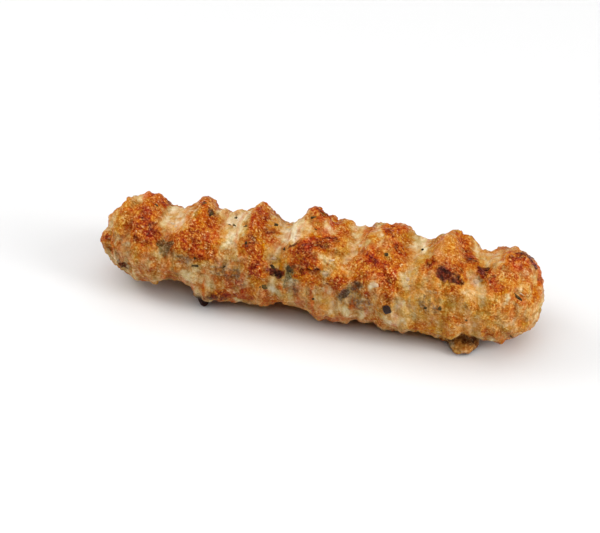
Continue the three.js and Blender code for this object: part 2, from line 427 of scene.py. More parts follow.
SEARED = [
    (-77, -25, 2, 10, 0, 0.8), (-71, -28, 1.5, 10, 0, 0.7), (-80, 26, 3, 2.2, 0, 0.7),
    (-79.5, 8, 2, 2, 0, 0.5), (-72.3, 34, 2.2, 9, -33, 1.7), (-79, 42, 2.5, 3, 0, 0.4),
    (-76, 53, 6, 2.5, 0, 0.8), (-56, 38, 3, 2.2, 0, 0.7), (-48, 8, 3, 5, 0, 0.7), (-50, 40, 3, 3, 0, 0.5),
    (-54, 58, 4, 2.5, 0, 0.7), (-47, 63, 5, 2.2, 0, 0.9), (-92, 70, 2, 3, 0, 0.6), (-28, -5, 2, 9, 0, 0.7),
    (-22, 5, 2.3, 4, 40, 1.0), (-23, 62, 2.6, 5, 0, 0.6), (-22.5, 75, 2.5, 4, 0, 0.6),
    (-5, 38, 8, 3, -10, 1.0), (1.5, 24.5, 9.5, 4.0, -28, 1.9), (7.5, 15.5, 5, 3.6, -12, 1.9),
    (0.5, 33, 3, 3, 0, 1.7), (-4, 50, 6, 3.4, -10, 2.0), (-1.5, -26, 3.5, 11, 0, 1.3),
    (28, -15, 2, 9, 0, 0.8), (29.5, -2, 2, 4, 0, 0.8), (33.5, 77, 2.4, 1.8, 0, 0.5),
    (35.5, 10, 2.8, 5.5, 10, 1.1), (24, 25, 1.8, 1.8, 0, 0.6), (27, 33, 3.2, 2.8, 20, 1.2),
    (34, 43, 2.3, 3.5, 0, 0.45), (9.5, 70, 2, 1.4, 0, 0.4), (47.5, 30, 4.5, 2.8, 0, 1.3),
    (63.2, -3, 2.6, 11, 0, 1.1), (58, 29, 6, 2.8, 5, 1.3), (57, -30, 2, 5, 0, 0.5),
    (72.8, 27, 7.5, 2.0, 48, 1.4), (79, 17, 1.5, 2, 0, 0.7), (81, -8, 3, 11, 0, 0.4),
    (79, 45, 3.5, 1.6, 0, 0.6), (58, 56, 2, 2, 0, 0.6), (46, 106, 3, 3, 0, 0.3), (79, 110, 6, 3, 0, 0.5),
    # the one at -36 mm and 115 degrees, last on the next line, is painted shadow where the kebab meets the
    # floor
    (0, 54, 6, 2, 0, 0.5), (-3, 62, 4, 2.5, 0, 0.9), (-36, 115, 8, 3, 0, 0.8),
    (87.3, 53.5, 2.5, 2.2, 0, 0.8), (59, -28, 4, 6, 0, 0.6), (82, -4, 5, 12, 0, 0.9),
    (60, 5, 10, 15, 0, 0.5), (82, 15, 8, 14, 0, 0.35), (30, 28, 9, 18, 0, 0.25),
    (26.3, 34, 3, 2.6, 20, 1.6), (-91, 65, 3, 4, 0, 0.8), (57, -37, 4, 4, 0, 1.3), (33, -8, 2.5, 6, 0, 0.5),
    (-26, 26, 3, 5, 0, 0.6), (59, 37, 7, 4, 0, 1.0), (65, 7, 2.6, 6, 0, 1.0), (-3, -36, 5, 5, 0, 1.0),
    (20, -40, 3, 4, 0, 0.8), (-80.5, 37, 3.5, 3, 0, 0.7), (79.2, 16.5, 1.6, 1.8, 0, 0.9),
    (56, -33, 3.5, 4, 0, 0.7), (31, -22, 3, 10, 0, 0.6), (3, 19, 6, 4, -25, 0.45),
    (-25.8, 26.5, 3, 3, 0, 0.9), (48, 30.5, 4, 2.6, 0, 1.6), (57.6, -27, 3.5, 4, 0, 0.8),
    (32.6, -6.5, 3, 4, 0, 0.7),
]
print("the front and top have", len(BROWNED), "browned and", len(SEARED), "seared patches")

# %% [markdown]
# ## Between the marks
# The scoops stay the cream of cooked chicken. Where juice dried, the meat is golden. Low on the front some
# patches are grey and wet-looking, and a few spots are scorched nearly black. Some dark spots are painted
# shade: in a crack, in a crease, and where the kebab meets the floor. Noises could place them all, but the
# eye knows a kebab by its few bold marks, so each of them has its own place.

# %% Lay out the other patches of the front and top
PALE = [
    (-62.5, -15, 5.5, 14, -3, 0.5), (-63.5, 20, 5.2, 5, 0, 1.15), (-66.5, 5, 3, 5, 0, 0.5),
    (-67, 35, 1.5, 5, 0, 0.5), (-86.5, 4, 4, 7, 0, 0.3), (-93, 42, 2, 4, 0, 0.4),
    (-36.5, -5, 6, 8, -8, 1.0), (-36, 18, 5.5, 6, -8, 1.0), (-38, 36, 2.2, 4, -10, 0.9),
    (-45, -18, 2.5, 7, -5, 0.6), (-15, -15, 2, 10, 0, 0.9), (-19.5, -25, 4, 10, 0, 0.45),
    (-14.5, 14, 3.5, 7, 0, 0.9), (-11.5, 19, 5.6, 5.5, -10, 1.1), (-5, 12, 3, 3, -30, 0.6),
    (-17, 38, 4, 5, 0, 0.5), (-36, 46, 6, 3, 0, 0.55), (3, -3, 3, 3, -20, 0.8), (5, 41, 3.5, 2, -10, 0.5),
    (12.5, 36, 3, 3, -40, 0.3), (16, 22, 3.5, 5, 0, 0.4), (14.5, -8, 3.5, 14, 0, 0.6),
    (18.5, 14, 2, 2.5, 0, 0.7), (6, 58, 2.4, 1.6, 0, 0.5), (24.5, -4, 2, 5, 0, 0.5),
    (43.5, 78, 2.5, 6, 0, 0.7), (39, 104, 3, 4, 0, 0.6), (42, -5, 4.5, 10, -8, 0.7), (43, 18, 4, 6, 0, 0.5),
    (41, 50, 3.0, 6, 0, 0.35), (40, 30, 2.5, 4, 0, 0.4), (40, -33, 3.5, 6, 0, 0.6),
    (27.5, 60.5, 2.3, 1.7, 0, 1.0), (71, -30, 3.5, 8, 0, 0.7), (70.5, -12, 3.5, 7, 0, 0.6),
    (75.5, 5, 2.5, 6, 0, 0.6), (68.5, 40, 2, 2.8, 0, 1.0), (71, 52, 4, 4, 0, 0.8),
    (87.2, 34, 2.5, 3, 0, 0.5), (8, 93, 2.5, 7, 0, 0.6), (35, 100, 4, 4, 0, 0.6), (-53, 87, 2.5, 5, 0, 0.3),
    (-66, 90, 2, 6, 0, 0.2), (-15, 90, 3, 4, 0, 0.6), (-11, 80, 2, 4, 0, 0.4), (13, 96, 5, 3, 0, 0.5),
    (40, 85, 4, 5, 0, 0.4), (50, 62, 4, 3, 0, 0.45), (65, 62, 2.5, 4, 0, 0.45), (70, 98, 3, 5, 0, 0.4),
    (80, 88, 3, 8, 0, 0.3), (-80, 78, 3, 3, 0, 0.35), (58, 98, 3, 3, 0, 0.35), (76, 52, 3, 2, 0, 0.2),
    (-32, 47, 3, 2.5, 0, 0.7), (-15.5, -5, 3, 12, 0, 1.0), (-12.5, 8, 4, 7, 0, 1.15),
    (3, 42, 3, 2, -10, 0.6), (6, 95, 3, 9, 0, 0.6), (66.5, 33, 2, 6, 0, 0.8), (67, 103, 5, 6, 0, 0.5),
    (39, 90, 4, 5.5, 0, 0.75), (24, 101, 6, 4, 0, 0.35), (66, -37, 4, 5, 0, 0.8),
    (8.5, 100, 3.5, 5, 0, 0.8), (-90, 22, 3, 8, 0, 0.3), (-66, -35, 4, 5, 0, 0.9),
    (68.4, 38.5, 2.4, 3, 0, 1.2), (87.4, 33.5, 2.2, 2.6, 0, 0.75),
]
GREY = [
    (-13, 62, 5, 2.2, 10, 0.3), (69.5, 34, 1.6, 3, 40, 0.5), (-85.5, 92, 4, 3, 40, 0.5),
    (-30, 88, 4, 4, 0, 0.4), (-64.2, 56.5, 3.6, 4.2, -20, 1.15), (-56, 69, 5, 3, 0, 0.5),
    (-84, 61, 4.5, 3, 0, 0.3), (-94, 40, 2, 5, 0, 0.3), (-37, 66, 2, 3, 0, 0.5),
    (-31.5, 77, 3, 4.5, 0, 0.7), (-35, 80, 7, 6, 0, 0.5), (-28, 78, 2.2, 2.2, 0, 0.4),
    (-36, 88, 4, 5, 0, 0.4), (-9, 66, 3, 5, 10, 1.1), (-7, 80, 3, 4.5, 10, 0.6),
    (-17.5, 49, 2.5, 4, 0, 0.25), (17, 74, 6.5, 2.5, -36, 0.55), (14, 79.5, 3, 2.4, 0, 1.3),
    (19, 66, 3, 2.2, 0, 0.8), (0, 86, 3, 3, 0, 0.35), (22, 82, 8, 6, 0, 0.5), (50, 73, 5, 5, 0, 0.45),
    (54, 78, 3, 3, 0, 0.5), (67.5, 67, 1.5, 4, 0, 0.3), (53, 60, 3, 3, 0, 0.35), (-65, 53, 3, 4, 0, 0.9),
    (-62.6, 60, 2.5, 3.5, 0, 0.8), (-40, 72, 4, 5, 0, 0.4), (-14, 50, 4, 6, 0, 0.3),
    (-30, 84, 3.5, 4, 0, 0.35), (-39, 67, 2, 3, 0, 0.35), (16, 73, 3, 2.2, -36, 0.6),
    (-86.5, 56, 4, 4, 0, 0.45),
]
# Where herb shows through, the grey is olive.
OLIVE = [
    (-64, 57, 6, 8, 0, 1.0), (-11, 63, 9, 9, 0, 1.0), (-84, 90, 7, 12, 0, 0.7),
]
SCORCHED = [
    (8, 15, 2.5, 2.2, 0, 0.6), (-9.5, 34, 4.5, 1.1, -28, 0.8), (-4.5, 31.5, 3.5, 1.6, -30, 0.6),
    (55.6, 38.5, 2.9, 3.2, 0, 1.4), (62, 43, 2.6, 1.8, 0, 1.3), (59, 41, 4, 1.6, 0, 1.0),
    (69.9, 17.5, 2.4, 3.4, 0, 1.7), (64, 3, 1.8, 5.5, 0, 0.6), (26, 34, 2.4, 1.8, 30, 0.7),
    (37, 8, 1.2, 3, 0, 0.6), (33, 13, 1.5, 1.2, 0, 0.5), (-72.6, 33, 1.5, 6, -30, 0.6),
    # painted shade: the thin one at 1.5 mm and 54.7 degrees, last on the next line, in a crack, and the one
    # at -83.5 mm and 104 degrees, on the line after, in the crease of the left end's lower corner
    (-22, 4, 1.8, 2, 30, 0.5), (8.5, 70.5, 1.3, 1.0, 0, 0.6), (1.5, 54.7, 5, 0.9, -3, 1.0),
    (-15.2, 66, 3.3, 2.2, 35, 1.2), (-83.5, 104, 5.5, 1.5, 55, 0.8), (85.5, -29, 4, 2.4, 0, 1.1),
    (87, -44, 1.6, 9, 20, 0.9), (-28.5, 38, 1.5, 1.3, 0, 0.9), (-52.5, -15, 1.2, 2.2, 0, 0.6),
    (-48.5, -6, 2, 4, 0, 1.0), (30, -3, 1.5, 2.5, 0, 0.6), (28, -12, 1, 3, 0, 0.5),
    # the one at -42 mm and 118 degrees, first on the next line, is painted shadow where the kebab meets the
    # floor
    (-42, 118, 9, 4, 0, 0.7), (90.3, -23, 1.6, 4, -20, 1.0), (94.4, -15, 1.1, 5, 0, 0.5),
    (-2.8, 49, 2.2, 1.6, 0, 0.55),
]
GOLDEN = [
    (66, 80, 30, 20, 0, 1.0), (38, 90, 8, 6, 0, 0.9), (56, 8, 10, 12, 0, 0.8), (42, 15, 5, 12, 0, 0.8),
    (14, 5, 5, 12, 0, 0.8), (-20, -20, 5, 14, 0, 0.8), (-75, 67, 6, 4, 0, 0.9), (-63.5, -15, 5, 14, 0, 0.7),
    (-85, 45, 3, 4, 0, 0.7), (-62, 26, 5, 3, 0, 0.9), (84, 28, 8, 6, 0, 0.8), (-40, 24, 2.5, 8, 0, 0.8),
    (9, 90, 6, 7, 0, 0.6), (72, 0, 6, 14, 0, 0.7), (43, 82, 4, 18, 0, 0.9), (80, 92, 7, 8, 0, 0.9),
    (12, 24, 5, 8, 0, 1.2), (12, 47, 4, 4, 0, 1.0), (23.4, 6.5, 3, 3.5, 0, 1.0), (-19, 42, 4, 5, 0, 0.8),
    (8, 101, 5, 5, 0, 0.7), (-86, 42, 3, 7, 0, 0.5), (-13, 48, 5, 6, 0, 0.9),
]
others = {"pale": PALE, "grey": GREY, "olive": OLIVE, "scorched": SCORCHED, "golden": GOLDEN}
print("the other patches:", {name: len(ovals) for name, ovals in others.items()})

# %% [markdown]
# ## Round the back
# The other side of the kebab lay on the grill too. It isn't seen, so it gets marks of the same kinds and
# sizes: each oval of the front is laid on the back as well, a little shifted, resized and turned. The
# underside gets a few broad ones. The random numbers are seeded, so each run draws the same kebab.

# %% Lay out the patches of the back and the underside
FRONT_FROM = 26
BACK_SHIFT = -28
SHIFT_ALONG = 4
SHIFT_ROUND = 8
TURN_MOST = 15
SIZES = (0.85, 1.2)
STRENGTHS = (0.75, 1)
MARKS_SEED = 41
marks = random.Random(MARKS_SEED)


def with_the_back(ovals):
    """The ovals, and for each one of the front a like one at the back."""
    behind = []
    for x, angle, half_long, half_across, tilt, strength in ovals:
        if angle > FRONT_FROM:
            size = marks.uniform(*SIZES)
            behind.append((
                x + marks.uniform(-SHIFT_ALONG, SHIFT_ALONG),
                BACK_SHIFT - angle + marks.uniform(-SHIFT_ROUND, SHIFT_ROUND),
                half_long * size,
                half_across * size,
                -tilt + marks.uniform(-TURN_MOST, TURN_MOST),
                strength * marks.uniform(*STRENGTHS),
            ))
    return ovals + behind


UNDER_END = 85
UNDER_ANGLES = (150, 210)
UNDER_HALF_LONG = (5, 11)
UNDER_HALF_ACROSS = (4, 9)
UNDER_TURN_MOST = 30
UNDER_STRENGTHS = (0.6, 1)


def underside(count, strength):
    """Broad ovals along the underside."""
    return [
        (
            -UNDER_END + 2 * UNDER_END * (i + marks.random()) / count,
            marks.uniform(*UNDER_ANGLES),
            marks.uniform(*UNDER_HALF_LONG),
            marks.uniform(*UNDER_HALF_ACROSS),
            marks.uniform(-UNDER_TURN_MOST, UNDER_TURN_MOST),
            strength * marks.uniform(*UNDER_STRENGTHS),
        )
        for i in range(count)
    ]


BACK_GREY = 0.6
GREY_MIDDLE = 20
GREY_REACH = 110
PALE_OVER_BROWN = 0.75

browned = patches(with_the_back(BROWNED) + underside(14, 0.9))
pale = patches(with_the_back(PALE) + underside(5, 0.6))
in_front = np.abs(angle_round - GREY_MIDDLE) < GREY_REACH
grey = patches(with_the_back(GREY)) * np.where(in_front, 1, BACK_GREY)
golden = patches(with_the_back(GOLDEN))
seared = patches(with_the_back(SEARED) + underside(8, 0.7))
scorched = patches(with_the_back(SCORCHED) + underside(5, 0.6))
browned = browned * (1 - PALE_OVER_BROWN * pale)
print("browned, pale and seared at most:", [round(float(f.max()), 2) for f in (browned, pale, seared)])

# %% [markdown]
# ## What set on the lower edge
# Two bits cling to the kebab's lower edge: a drip of juice that browned as it set, and a scorched shred.
# They could be pieces of their own, but they grow out of the meat, so they are part of the same solid.
# Their fields are balls round their middles, which give them their own colours.

# %% Mark the drip and the shred, and keep the fields
DRIP = Vector((65.2, -14.3, 2.5))
DRIP_REACH = 8.5
DRIP_TOP = 9
DRIP_FADE = 3
SHRED = Vector((-48.5, -13.8, 4.5))
SHRED_REACH = 5.5
BALL_FALL = 3


def ball(middle, reach):
    """1 near that middle, falling to 0 at that reach."""
    away = np.linalg.norm(points - np.array(middle), axis=1) / reach
    return np.clip(BALL_FALL * (1 - away), 0, 1)


low_skin = np.clip((DRIP_TOP - points[:, 2]) / DRIP_FADE, 0, 1)
fields = {
    "browned": browned,
    "seared": seared,
    "pale": pale,
    "grey": grey,
    "olive": patches(OLIVE),
    "scorched": scorched,
    "golden": golden,
    "drip": ball(DRIP, DRIP_REACH) * low_skin,
    "shred": ball(SHRED, SHRED_REACH),
}
for name, values in fields.items():
    keep_field(name, values)

# %% [markdown]
# ## The relief of mince
# Mince is strands and granules pressed together, so its skin is rough in several sizes at once. A bump in
# the material could feign all of it, but the outline would stay smooth, so the skin itself is moved. What
# shows one by one comes first: folds, cracks and bulges, laid out as the colours are.

# %% Mark the folds, cracks and bulges
RAISED = [
    (-3, -30, 5, 9, 0, 0.9), (59, 38, 6, 3, 0, 0.5), (75, 33, 4, 2, 40, 0.3), (-44, -28, 2.2, 4, 0, 0.9),
    (-38, -23, 2, 2.5, 0, 0.8), (-86, 66, 1.0, 5, 10, 0.5), (-83.5, 68, 0.9, 5, 25, 0.5),
    (0, 31, 12, 4.5, -27, 1.0), (-4, 46, 7, 4, 0, 0.5), (12, 60, 5, 4, 0, 0.7), (-92, 68, 4, 6, 0, 0.8),
    (-76, 65, 3.5, 3, 0, 0.6), (26, 42, 8, 7, 0, 0.4), (92, 84, 3, 4, 0, 0.8), (-51, 50, 9, 6, 0, 0.4),
    (62, 52, 9, 5, 20, 0.5), (-24, 62, 6, 9, 0, 0.35), (82, 60, 7, 6, 0, 0.4), (34, 40, 4, 10, 0, 0.4),
]
DUG = [
    (-85, -14, 6, 8, 0, 0.7), (69, 42, 3, 4, 0, 0.5), (7, 40, 8, 2.2, -25, 1.0), (16, 30, 9, 1.6, -60, 0.7),
    (2, 57.5, 6, 1.0, 5, 0.9), (-83, 103, 5, 1.2, 35, 0.9), (-89.5, 76, 1.2, 5, 0, 0.8),
    (-10, 22, 9, 1.8, -25, 0.8), (-15, 58, 4, 5, 10, 0.7), (40.5, 42, 1.8, 10, 0, 0.5),
    (69, 44, 2.5, 6, -15, 0.6), (87, 46, 4, 1.0, 35, 0.7), (-64, 50, 3, 6, -20, 0.6),
    (-38, 50, 2.5, 8, 0, 0.15),
]
# The lower corner of the left end is tucked in and its shoulder is full, further than the others reach.
TUCKED = [
    (-89, 114, 8, 12, 0, 1.0),
]
SHOULDER = [
    (-87.6, 3, 4.6, 10, 0, 0.9),
]
FOLD_WIDTH = 3.6
FOLD_LENGTH = 13
FOLD_STRETCH = Vector((1 / FOLD_WIDTH, 1 / FOLD_LENGTH, 1 / FOLD_LENGTH))
FOLD_GAIN = 1.3
FOLD_SHARE = 0.6
BARE_GRAIN = 0.35

folds = FOLD_GAIN * np.array([wander.noise(Vector(point) * FOLD_STRETCH) for point in points])
relief_fields = {
    "raised": patches(with_the_back(RAISED)) + FOLD_SHARE * np.clip(folds, 0, 1),
    "dug": patches(with_the_back(DUG)) + FOLD_SHARE * np.clip(-folds, 0, 1),
    "tucked": patches(TUCKED),
    "shoulder": patches(SHOULDER),
    "crust": np.clip(browned + BARE_GRAIN * (1 - pale), 0, 1),
}
for name, values in relief_fields.items():
    keep_field(name, values)

# %% [markdown]
# ## Moving the skin
# Sculpting by hand would take days and could not be run again. Displace modifiers add one size of relief
# after another: the marked places, broad lumps, the granules of the grind, and the grain of the crust,
# which is deep only where the meat browned.

# %% Displace the skin
def relief_texture(kind, size):
    """A procedural texture for a Displace modifier, with features of that size."""
    texture = bpy.data.textures.new("relief", kind)
    texture.noise_scale = size
    return texture


# What each field's Displace modifier adds at full strength, in millimetres.
FIELD_HEIGHTS = {"raised": 1.6, "dug": -1.4, "tucked": -2.6, "shoulder": 2.6, "shred": 1.0}
for name, reach in FIELD_HEIGHTS.items():
    apply_modifier("DISPLACE", strength=reach * MM, mid_level=0, vertex_group=name)
apply_modifier("DISPLACE", strength=2.2 * MM, mid_level=0.5, texture=relief_texture("CLOUDS", 5 * MM))
apply_modifier("DISPLACE", strength=-0.85 * MM, mid_level=0.4, texture=relief_texture("VORONOI", 3 * MM))
apply_modifier(
    "DISPLACE",
    strength=-0.65 * MM,
    mid_level=0.4,
    vertex_group="crust",
    texture=relief_texture("VORONOI", 1.6 * MM),
)

# The displaced skin stays on the surface that the kebab lies on.
skin = np.empty(len(kebab.data.vertices) * 3)
kebab.data.vertices.foreach_get("co", skin)
skin = skin.reshape(-1, 3)
skin[:, 2] = np.maximum(skin[:, 2], 0)
kebab.data.vertices.foreach_set("co", skin.ravel())
kebab.data.update()
bpy.ops.object.shade_smooth()
moved = np.linalg.norm(skin / MM - points, axis=1)
print("the relief moves the skin by", moved.mean().round(2), "mm, and by", moved.max().round(2), "at most")

# %% [markdown]
# ## Patterns in the mince
# All the colour of the kebab comes from a few patterns, laid over the fields that were kept on its skin.
# Noises of four sizes make clouds, clumps, crumbs and a fine grain. Stretched round the kebab they make
# the strands of the mince. Packed grains of several sizes, as a Voronoi texture draws them, make the
# lumps of the grind and the crumbs of the crust, and some of them paint glints on crumbs and shade in
# the gaps between them.

# %% Gather the patterns
mince_material, place = new_material("grilled chicken mince")


def field(name):
    """A field that was kept on the skin."""
    return place.node("ShaderNodeAttribute", {}, output="Fac", attribute_name=name)


STRAND_STRETCH = (1, 0.25, 0.25)

cloud = noise(place, 9)
clump = noise(place, 3.4, 1)
crumb = noise(place, 1.6, 1)
fine = noise(place, 0.7)
girthwise = place.node("ShaderNodeVectorMath", {0: place, 1: STRAND_STRETCH}, operation="MULTIPLY")
streaks = noise(girthwise, 3.0)
fibres = noise(girthwise, 1.4)
lumps = dice(place, 2.2)
sand = dice(place, 1.0)
# The cells give each grain its own depth of colour and paint glints on some; the crust's grains give its
# relief, and the shade painted in the gaps between them.
tone_and_glint_cells = dice(place, 0.75)
crust_grains_relief_and_shade = grains(place, 1.0)
crust = field("browned")
seared_crust = field("seared")
pale_meat = field("pale")
bare = (1 - crust) * (1 - pale_meat * 0.5)
print("the patterns take", len(mince_material.node_tree.nodes), "nodes")

# %% [markdown]
# ## Two scales of colour
# Browning isn't one colour but a scale, from cream through gold, orange and red-brown to char. So one
# number says how browned a spot is, from the broad fields and the patterns, and a colour ramp looks the
# colour up. Crust is more golden than bare meat that is just as browned, so each has a ramp of its own.

# %% Look the browning up
MEAT_SCALE = [
    (0.0, (234, 217, 181)),
    (0.14, (215, 187, 137)),
    (0.28, (201, 154, 93)),
    (0.42, (183, 111, 48)),
    (0.56, (162, 84, 28)),
    (0.7, (129, 56, 16)),
]
CRUST_SCALE = [
    (0.14, (206, 163, 94)),
    (0.28, (198, 139, 60)),
    (0.42, (190, 115, 30)),
    (0.56, (180, 87, 15)),
    (0.7, (152, 62, 14)),
    (0.85, (108, 38, 10)),
    (1.0, (54, 18, 8)),
]


def look_up(number, scale):
    """The colour at that number on a scale of (number, colour) stops."""
    stops = [(stop, paint(*colour)) for stop, colour in scale]
    return number.node("ShaderNodeValToRGB", {"Fac": number}, stops=stops)


BASE_BROWNING = 0.31

browning = (
    BASE_BROWNING
    + crust * 0.25
    + seared_crust * 0.16
    - pale_meat * 0.3
    + cloud * 0.1
    + clump * (0.15 + crust * 0.07)
    + streaks * 0.19 * bare
    + crumb * 0.03
    + fibres * 0.05 * bare
    + (lumps - 0.5) * 0.06
)
crusty = (crust + clump * 0.1).step(0.1, 0.6)
colour = crusty.mix(look_up(browning, MEAT_SCALE), look_up(browning, CRUST_SCALE))
print("the scales have", len(MEAT_SCALE), "and", len(CRUST_SCALE), "stops")

# %% [markdown]
# ## Tints
# No two crumbs brown alike, and a ramp has only one colour for each number. So tints lie over the scales,
# each where a noise of its own is high or low, and only on bare meat, or on crust, or where juice dried.
# The pale crumbs on the crust are partly painted glints.

# %% Tint the meat and the crust
strand_hue = noise(girthwise, 4.0, 1) + noise(girthwise, 1.8, 1) * 0.5
crust_hue = noise(place, 3.2, 1) + noise(place, 1.4, 1) * 0.5
dried_juice = (field("golden") + clump * 0.4).step(0.2, 0.9) * (1 - crust * 0.6)
freckled = crust * (1 - seared_crust * 0.48)
TINTS = {
    "olive strands": (strand_hue.step(-0.1, -0.8) * bare * 0.7, (154, 118, 58)),
    "rusty strands": (strand_hue.step(0.1, 0.8) * bare * 0.65, (192, 92, 38)),
    "cream clumps": (noise(place, 3.6, 1).step(0.2, 0.9) * bare * 0.55, (214, 183, 122)),
    "golden juice": (dried_juice * 0.5, (210, 150, 54)),
    "orange crust": (crust_hue.step(0.1, 0.9) * freckled * 0.55, (216, 142, 40)),
    "red crust": (crust_hue.step(-0.1, -0.9) * crust * 0.45, (172, 58, 10)),
    # pale specks on the crust, partly painted glints
    "pale crumbs and painted glints": (noise(place, 1.5, 1).step(0.3, 1.0) * freckled * 0.55, (224, 170, 112)),
}
for share, tint in TINTS.values():
    colour = share.mix(colour, paint(*tint))
print("the tints are", ", ".join(TINTS))

# %% [markdown]
# ## Grey, char and what set on the edge
# Over the browning come the places that don't follow it: grey wet meat, olive where herb shows through,
# char that is broken up by grains, and the drip and the shred, whose fields choose their own colours.

# %% Lay the grey, the char, the drip and the shred over it
wet_grey = (field("grey") + crumb * 0.3 + fine * 0.2).step(0.1, 0.95)
grey_colour = field("olive").mix(paint(76, 65, 60), paint(86, 77, 46))
colour = (wet_grey * 0.82).mix(colour, grey_colour)

burnt = (field("scorched") + crumb * 0.16 + fine * 0.12 + (sand - 0.5) * 0.25).step(0.25, 0.85)
char_colour = crumb.step(-0.7, 0.7).mix(paint(50, 18, 14), paint(112, 42, 24))
colour = (burnt * 0.95).mix(colour, char_colour)

# The drip is lighter at its front edge, which lies 16.5 to 20 mm in front of the kebab's middle.
backwards = place.node("ShaderNodeSeparateXYZ", {"Vector": place}, output="Y")
drip_edge = (backwards * -1 + clump * 1.2 + crumb).step(16.5, 20)
colour = field("drip").mix(colour, drip_edge.mix(paint(46, 8, 1), paint(150, 100, 48)))
colour = field("shred").mix(colour, paint(40, 9, 4))
print("the grey, the char, the drip and the shred are on")

# %% [markdown]
# ## Depth of colour, with painted glints and shade
# The brown of a grilled skin is a film of juice, thicker in one crumb than in the next. Light that goes
# through twice the film is coloured twice, so its colour is multiplied by itself. A Gamma node does just
# that, with the film's depth as its power: deep grains get darker and more vivid, and thin ones paler.
# The same power paints light and shade at the size of the crumbs as well: some grains are made paler as
# painted glints, and the gaps between the crust's grains darker as painted shade. Before it, a soft swing
# of hue and vividness keeps the broad areas from being even.

# %% Vary the depth of the colour, and paint glints and shade on the grains
# No spot is darker than this, in linear light.
LEAST_COLOUR = (0.02, 0.004, 0.001)
BASE_DEPTH = 1.08

swing = {
    "Color": colour,
    "Hue": 0.5 + noise(place, 6, 1) * 0.013,
    "Saturation": 1 + (noise(place, 8, 1) * 0.06 + 0.005) * bare,
}
colour = colour.node("ShaderNodeHueSaturation", swing)
calm = (1 - pale_meat * 0.6) * (1 - seared_crust * 0.24)
# Besides the film's depth, which differs from grain to grain, this paints light and shade: the cells' paler
# grains are partly painted glints, and the gaps between the crust's grains are darkened as painted shade.
depth = (
    BASE_DEPTH
    - fibres * 0.14 * bare
    - crumb * (0.11 - crust * 0.02) * calm
    - (lumps - 0.5) * 0.24
    + (tone_and_glint_cells - 0.5) * (0.44 + crust * 0.6) * calm
    + (crust_grains_relief_and_shade.step(0.4, 0.8) - 0.3) * (0.12 + crust * 0.18) * calm
    - fine * (0.23 + crust * 0.22) * (1 - burnt * 0.5)
)
colour = colour.node("ShaderNodeGamma", {"Color": colour, "Gamma": depth})
colour = colour.node("ShaderNodeVectorMath", {0: colour, 1: LEAST_COLOUR}, operation="MAXIMUM")
print("the mince's colour takes", len(mince_material.node_tree.nodes), "nodes")

# %% [markdown]
# ## Shine
# Hot juice leaves a thin shine. One glossy skin would look like plastic, so a weak smooth coat lies over
# a rougher one. A little light goes under the surface, as it does in all meat. The finest grain, too small
# for the mesh, is a bump.

# %% Finish the mince and dress the body in it
BUMP_DEPTH = 0.6 * MM

height = crust * crust_grains_relief_and_shade * -0.7 + fine * 0.2 + crumb * 0.4 + fibres * bare * 0.25
bumps = place.node("ShaderNodeBump", {"Strength": 1, "Distance": BUMP_DEPTH, "Height": height})
finish_with(
    place,
    Base_Color=colour,
    Roughness=0.24 + clump * 0.06,
    Specular_IOR_Level=0.05,
    Coat_Weight=0.04 + cloud * 0.05,
    Coat_Roughness=0.15,
    Subsurface_Weight=0.1,
    Subsurface_Radius=(2.0, 0.9, 0.45),
    Subsurface_Scale=0.5 * MM,
    Normal=bumps,
)
kebab.data.materials.append(mince_material)
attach(kebab, "root")
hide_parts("kebab")
print("the mince has", len(mince_material.node_tree.nodes), "nodes")

# %% [markdown]
# ## Bits in the mince
# Chopped herbs, soft onion and a crushed peppercorn are pressed into the meat and show at its surface.
# Each kind starts as one to three small dented balls. Every bit is a copy of one, stretched to its own
# size, laid on the skin and half sunk, so that the relief of the mince cuts its outline.

# %% Helpers that lay bits on the skin
CAST_FROM = 60 * MM
STEADIED = 0.5
DENT_PITCH = 1.3
BLANK_WIDTH = 2

skin_tree = BVHTree.FromPolygons(
    [vertex.co for vertex in kebab.data.vertices], [face.vertices for face in kebab.data.polygons]
)


def spot(x, angle):
    """The place on the skin that far along and round, in metres, and the way a bit on it faces."""
    outward = Vector((0, -math.sin(math.radians(angle)), math.cos(math.radians(angle))))
    axis = Vector((x, 0, AXIS_HEIGHT)) * MM
    place, facing, _, _ = skin_tree.ray_cast(axis + outward * CAST_FROM, -outward)
    return place, facing.slerp(outward, STEADIED)


def dented_ball(seed, depth):
    """A ball to be stretched into a bit, with dents of that depth in it."""
    bpy.ops.object.select_all(action="DESELECT")
    bpy.ops.mesh.primitive_ico_sphere_add(subdivisions=2, radius=BLANK_WIDTH / 2)
    ball_object = bpy.context.object
    for vertex in ball_object.data.vertices:
        vertex.co *= 1 + depth * wander.noise(vertex.co * DENT_PITCH + Vector((seed, 0, 0)))
    mesh = ball_object.data
    bpy.data.objects.remove(ball_object)
    return mesh


def lay(blank, x, angle, length, width, thickness, turned=0, lift=0):
    """A copy of the blank on the skin. Its sizes and its lift are in millimetres, its turn in degrees."""
    place, facing = spot(x, angle)
    across = facing.cross(Vector((1, 0, 0))).normalized()
    lengthways = across.cross(facing).normalized()
    c, s = math.cos(math.radians(turned)), math.sin(math.radians(turned))
    lengthways, across = lengthways * c - across * s, across * c + lengthways * s
    turned_bit = Matrix((lengthways * length, across * width, facing * thickness)).transposed()
    mesh = blank.copy()
    mesh.transform((turned_bit * (MM / BLANK_WIDTH)).to_4x4())
    mesh.transform(Matrix.Translation(place + facing * lift * MM))
    bit = bpy.data.objects.new("bit", mesh)
    bpy.context.collection.objects.link(bit)
    return bit


